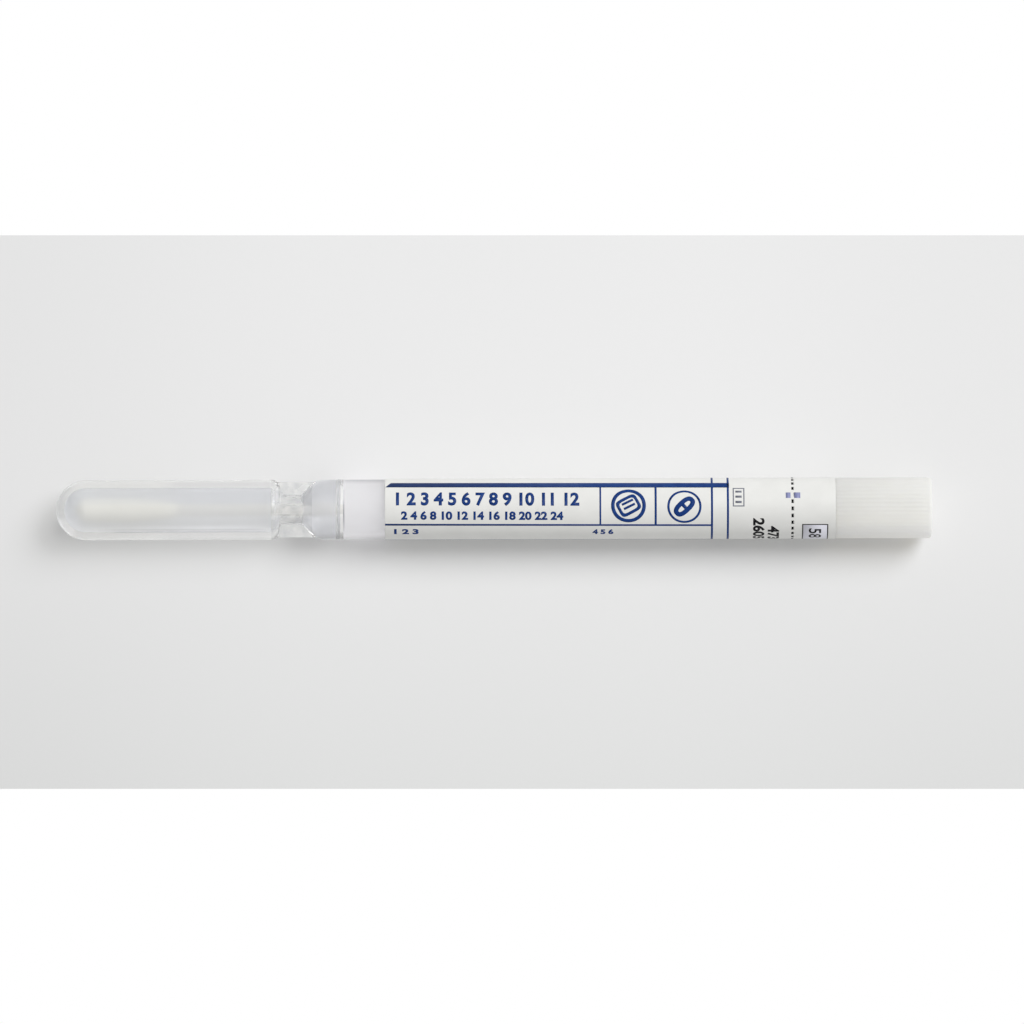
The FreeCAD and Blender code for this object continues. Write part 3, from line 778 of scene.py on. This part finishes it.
def make_paper(name, start, end, teeth, body, node):
    """A sheet turned round the tube as far as its gap, its edge at the perforation moved by the teeth."""
    half = math.pi - PAPER_GAP / 2
    angle = np.linspace(-half, half, 481)[None, :]
    share = np.array([0, 0.001, 0.01, 0.05, 0.25, 0.5, 0.75, 0.95, 0.99, 0.999, 1.0])[:, None]
    station = start + (end - start) * share
    reach = cut_edge(angle)
    if teeth == "end":
        station = station + reach * ramp(share, 0.99, 1.0)
    else:
        station = station - reach * ramp(1 - share, 0.98, 1.0)
    sheets = [on_tube(station, angle, radius) for radius in (PAPER_OUTSIDE, PAPER_INSIDE)]
    points, faces = slab(*sheets)
    return make_piece(name, points, faces, [PAPER], body, [node])


# ---------------------------------------------------------------- the print

def rectangle(left, right, low, high):
    """A flat box as corners and one face, in millimetres along the label and round it."""
    return np.array([(left, low), (right, low), (right, high), (left, high)], float), [[0, 1, 2, 3]]


def outline_between(outer, inner):
    """The flat band between two closed lines with as many points."""
    count = len(outer)
    corner = np.arange(count)
    following = (corner + 1) % count
    faces = np.stack([corner, following, following + count, corner + count], axis=-1)
    return np.concatenate([outer, inner]), faces.tolist()


def frame_box(left, right, low, high, line):
    """The outline of a box, drawn with a line of that width."""
    outer, _ = rectangle(left, right, low, high)
    return outline_between(outer, rectangle(left + line, right - line, low + line, high - line)[0])


def loop(centre, across, high, line, squareness=2.0, turn=0.0, steps=72):
    """A closed line round a centre: a superellipse of two half sizes, turned, with a smaller one cut out."""
    angle = np.arange(steps) / steps * 2 * math.pi
    cosine, sine = np.cos(angle), np.sin(angle)
    edge = np.stack([np.sign(cosine) * np.abs(cosine) ** (2 / squareness),
                     np.sign(sine) * np.abs(sine) ** (2 / squareness)], axis=-1)
    outer, inner = edge * (across, high), edge * (across - line, high - line)
    spin = np.array([[math.cos(turn), math.sin(turn)], [-math.sin(turn), math.cos(turn)]])
    points, faces = outline_between(outer, inner)
    return points @ spin + centre, faces


def stroke(start, end, width):
    """A straight line of that width between two points."""
    start, end = np.array(start, float), np.array(end, float)
    side = np.array([end[1] - start[1], start[0] - end[0]]) / np.linalg.norm(end - start) * width / 2
    return np.array([start + side, end + side, end - side, start - side]), [[0, 1, 2, 3]]


def digits(text, left, low, height, wide, bold, turned=False):
    """Plain numerals of that height and width. Turned ones read downwards from their corner."""
    curve = bpy.data.curves.new("numerals", "FONT")
    curve.body = text
    curve.size = 1
    curve.offset = bold
    curve.resolution_u = 5
    holder = bpy.data.objects.new("numerals", curve)
    bpy.context.scene.collection.objects.link(holder)
    graph = bpy.context.evaluated_depsgraph_get()
    mesh = bpy.data.meshes.new_from_object(holder.evaluated_get(graph))
    flat = np.zeros(len(mesh.vertices) * 3)
    mesh.vertices.foreach_get("co", flat)
    flat = flat.reshape(-1, 3)[:, :2]
    faces = [list(polygon.vertices) for polygon in mesh.polygons]
    flat = (flat - flat.min(axis=0)) * height / np.ptp(flat[:, 1])
    flat[:, 0] *= wide / flat[:, 0].max()
    bpy.data.objects.remove(holder)
    bpy.data.meshes.remove(mesh)
    bpy.data.curves.remove(curve)
    if turned:
        flat = np.stack([flat[:, 1], -flat[:, 0]], axis=-1)
    return flat + (left, low), faces


def print_ink(name, marks, material, body, lift=0.010):
    """Flat marks cut into narrow bands, given a thickness, and bent round the paper.

    A mark's first coordinate runs along the label from its edge. Its second is an arc length, and becomes an
    angle when divided by the paper's radius.
    """
    band, sunk = 0.3, 0.02
    starts = np.cumsum([0] + [len(points) for points, _ in marks]).tolist()
    outline = np.concatenate([points for points, _ in marks])
    shapes = [[corner + start for corner in face]
              for (_, faces), start in zip(marks, starts) for face in faces]
    low, high = outline[:, 1].min(), outline[:, 1].max()
    sheet = bpy.data.meshes.new(name)
    sheet.from_pydata(np.pad(outline, ((0, 0), (0, 1))).tolist(), [], shapes)
    flat = bmesh.new()
    flat.from_mesh(sheet)
    for level in np.arange(math.ceil(low / band) * band, high, band):
        everything = [*flat.verts, *flat.edges, *flat.faces]
        bmesh.ops.bisect_plane(flat, geom=everything, plane_co=(0, level, 0), plane_no=(0, 1, 0))
    bmesh.ops.triangulate(flat, faces=flat.faces[:])
    flat.to_mesh(sheet)
    flat.free()
    points = np.zeros(len(sheet.vertices) * 3)
    sheet.vertices.foreach_get("co", points)
    points = points.reshape(-1, 3)
    triangles = np.zeros(len(sheet.polygons) * 3, np.int32)
    sheet.polygons.foreach_get("vertices", triangles)
    triangles = triangles.reshape(-1, 3)
    bpy.data.meshes.remove(sheet)
    # All triangles face outwards, and an edge that only one of them has is on the rim.
    corner, one, other = (points[triangles[:, number]] for number in range(3))
    one, other = one - corner, other - corner
    area = one[:, 0] * other[:, 1] - one[:, 1] * other[:, 0]
    triangles = np.where((area < 0)[:, None], triangles, triangles[:, ::-1])
    edges = np.concatenate([triangles[:, [0, 1]], triangles[:, [1, 2]], triangles[:, [2, 0]]])
    count = len(points)
    key, reverse = edges[:, 0] * count + edges[:, 1], edges[:, 1] * count + edges[:, 0]
    rim = edges[~np.isin(key, reverse)]
    sides = np.stack([rim[:, 1], rim[:, 0], rim[:, 0] + count, rim[:, 1] + count], axis=-1)
    angle = (points[:, 1] - PRINT_SKEW * (points[:, 0] - SKEW_CENTRE)) / PAPER_OUTSIDE
    layers = [on_tube(LABEL_START + points[:, 0], angle, PAPER_OUTSIDE + height) for height in (lift, -sunk)]
    faces = triangles.tolist() + (triangles[:, ::-1] + count).tolist() + sides.tolist()
    return make_piece(name, np.concatenate(layers), faces, [material], body)


def dashes():
    """Dashes along the perforation's slits, printed right up to the label's edge, but for a gap of one."""
    edge = MOUTH - LABEL_START - 0.07
    centres = DASH_PHASE + PRINT_SKEW * (edge - SKEW_CENTRE) + DASH_PITCH * np.arange(-11, 12)
    return [rectangle(edge - 0.4, edge, centre - 0.38, centre + 0.38)
            for centre in centres if not 2.0 < centre < 4.0]


def make_print():
    """The label's plain print: bars, field lines, rows of numbers, two ringed shapes and stamped digits.

    Places and sizes are millimetres, along the label from its edge and round it from its top.
    """
    bar = (np.array([(0.1, 4.8), (68.7, 4.8), (68.7, 6.22), (1.2, 6.22)], float), [[0, 1, 2, 3]])
    numbers = [digits("1 2 3 4 5 6 7 8 9 10 11 12", 2.2, 0.62, 2.95, 36.6, 0.04),
               digits("2 4 6 8 10 12 14 16 18 20 22 24", 3.2, -2.22, 1.8, 32.4, 0.045),
               digits("1 2 3", 1.8, -5.85, 1.5, 4.9, 0.05), digits("4 5 6", 41.4, -5.85, 1.5, 4.2, 0.05)]
    across = [rectangle(0, 65.3, low, high) for low, high in ((-3.51, -3.1), (-9.03, -8.81), (11.97, 12.19))]
    round_label = [rectangle(left, right, -15, 15) for left, right in ((65.06, 65.48), (68.24, 68.66))]
    dividers = [rectangle(left, right, -3.2, 5.0) for left, right in ((42.81, 43.16), (53.81, 54.25))]
    box_ring = [loop((48.6, 0.8), 3.48, 3.48, 0.72),
                loop((48.6, 0.8), 2.24, 1.8, 0.6, squareness=5.0, turn=0.5),
                stroke((47.3, 0.9), (49.5, 2.0), 0.48), stroke((47.7, 0.05), (49.9, 1.15), 0.48)]
    capsule_ring = [loop((59.76, 0.62), 3.42, 3.42, 0.46),
                    loop((59.76, 0.62), 2.44, 1.35, 0.92, squareness=2.6, turn=0.75),
                    stroke((59.47, 0.93), (60.05, 0.31), 0.7)]
    navy = [bar] + numbers + across + round_label + dividers + box_ring + capsule_ring
    print_ink("navy_print", navy, NAVY_INK, "tube_body")
    small_box = [frame_box(69.42, 71.76, 0.62, 4.68, 0.23)]
    small_box += [rectangle(69.95, 71.2, low, low + 0.46) for low in (1.3, 2.42, 3.54)]
    print_ink("grey_print", small_box, GREY_INK, "tube_body")
    print_ink("lavender_print", [rectangle(80.0, 80.95, 2.38, 3.6)], LAVENDER_INK, "tube_body")
    stamped = [digits("2605", 73.45, -1.7, 2.35, 6.5, 0.036, turned=True),
               digits("473", 76.35, -3.5, 2.35, 4.9, 0.04, turned=True)]
    print_ink("black_stamp", stamped + dashes(), BLACK_INK, "tube_body")
    print_ink("seal_lavender", [rectangle(81.66, 82.9, 2.38, 3.6)], LAVENDER_INK, "cap_and_swab")
    print_ink("seal_pale_field", [rectangle(83.35, 88.4, -9.5, -3.1)], PALE_INK, "cap_and_swab", lift=0.005)
    seal_marks = [frame_box(83.27, 88.48, -9.6, -3.02, 0.21),
                  digits("58", 84.6, -4.1, 2.5, 3.4, 0.014, turned=True)]
    print_ink("seal_black_print", seal_marks, BLACK_INK, "cap_and_swab")


# ---------------------------------------------------------------- floor, light and camera

# How far the tube lies off level in the view, the view's middle and width, and half the floor's pale band.
ROLL = math.radians(-0.175)
VIEW_AHEAD, VIEW_MIDDLE = 0.00366, -0.0006
VIEW_WIDTH = 0.2048
BAND_HALF = 0.0555

# The surround's strength: on the object, as seen and reflected, and through clear plastic.
SURROUND = 0.50
SEEN_SURROUND = 0.95
SURROUND_THROUGH = 0.84


def make_floor():
    """A level sheet, pale in a wide band under the tube and white beyond it as the camera sees it."""
    half = 1.5
    corners = np.array([(-1, -1, 0), (1, -1, 0), (1, 1, 0), (-1, 1, 0)]) * half
    mesh = bpy.data.meshes.new("floor")
    mesh.from_pydata(corners.tolist(), [], [(0, 1, 2, 3)])
    floor = bpy.data.objects.new("floor", mesh)
    bpy.context.scene.collection.objects.link(floor)
    material = bpy.data.materials.new("pale_floor")
    material.use_nodes = True
    tree = material.node_tree
    shader = tree.nodes["Principled BSDF"]
    shader.inputs["Roughness"].default_value = 0.7
    shader.inputs["Specular IOR Level"].default_value = 0.2
    place = tree.nodes.new("ShaderNodeTexCoord")
    parts = tree.nodes.new("ShaderNodeSeparateXYZ")
    tree.links.new(place.outputs["Object"], parts.inputs[0])
    # Painted falloff of the light: the floor's colour is darker towards the front and towards the sides.
    towards_back = rise_node(tree, parts.outputs["Y"], -0.06, 0.004, smooth=False)
    pale = mix_node(tree, towards_back, (0.775, 0.78, 0.775, 1), (0.86, 0.86, 0.86, 1))
    off_centre = rise_node(tree, math_node(tree, "ABSOLUTE", parts.outputs["X"]), 0.03, 0.11)
    dimmed = mix_node(tree, off_centre, pale, (0.955, 0.955, 0.955, 1), blend="MULTIPLY")
    tree.links.new(dimmed, shader.inputs["Base Color"])
    off_middle = math_node(tree, "ABSOLUTE", math_node(tree, "SUBTRACT", parts.outputs["Y"], VIEW_MIDDLE))
    beyond = math_node(tree, "GREATER_THAN", off_middle, BAND_HALF)
    path = tree.nodes.new("ShaderNodeLightPath")
    white = tree.nodes.new("ShaderNodeEmission")
    seen_beyond = math_node(tree, "MULTIPLY", beyond, path.outputs["Is Camera Ray"])
    tree.links.new(mix_shaders(tree, seen_beyond, shader.outputs[0], white.outputs[0]),
                   tree.nodes["Material Output"].inputs["Surface"])
    mesh.materials.append(material)
    floor.rotation_euler.z = ROLL
    return floor


def make_lights():
    """One soft lamp from the upper right, and an even white surround."""
    lamp = bpy.data.lights.new("key", "AREA")
    lamp.shape = "DISK"
    lamp.size = 1.65
    lamp.energy = 60.0
    key = bpy.data.objects.new("key", lamp)
    key.location = (1.63, 1.26, 2.18)
    key.visible_transmission = False
    key.rotation_mode = "QUATERNION"
    key.rotation_quaternion = key.location.to_track_quat("Z", "Y")
    bpy.context.scene.collection.objects.link(key)
    world = bpy.data.worlds.new("surround")
    world.use_nodes = True
    tree = world.node_tree
    path = tree.nodes.new("ShaderNodeLightPath")
    seen = math_node(tree, "MAXIMUM", path.outputs["Is Camera Ray"], path.outputs["Is Glossy Ray"])
    seen = math_node(tree, "MULTIPLY", seen, SEEN_SURROUND - SURROUND)
    through = math_node(tree, "MULTIPLY", path.outputs["Is Transmission Ray"], SURROUND_THROUGH - SURROUND)
    strength = math_node(tree, "ADD", math_node(tree, "MAXIMUM", seen, through), SURROUND)
    tree.nodes["Background"].inputs["Color"].default_value = (1, 1, 1, 1)
    tree.links.new(strength, tree.nodes["Background"].inputs["Strength"])
    bpy.context.scene.world = world


def make_camera():
    """Straight above the tube, its closed end to the left."""
    camera = bpy.data.cameras.new("camera")
    distance = 2.5
    camera.sensor_width = 36
    camera.lens = camera.sensor_width * distance / VIEW_WIDTH
    camera.clip_start = 0.1
    camera.clip_end = 10
    view = bpy.data.objects.new("camera", camera)
    view.location = (VIEW_AHEAD, VIEW_MIDDLE, AXIS_HEIGHT + distance)
    view.rotation_euler.z = ROLL
    bpy.context.scene.collection.objects.link(view)
    bpy.context.scene.camera = view


bpy.context.scene.view_settings.view_transform = "Standard"
make_tube()
make_gel()
make_bubbles()
make_shaft()
make_bud()
make_cap()
make_paper("label_sheet", LABEL_START, MOUTH - CUT_HALF, "end", "tube_body", "label")
make_paper("seal_sheet", MOUTH + CUT_HALF, COLLAR_END, "start", "cap_and_swab", "seal_strip")
make_print()
make_floor()
make_lights()
make_camera()
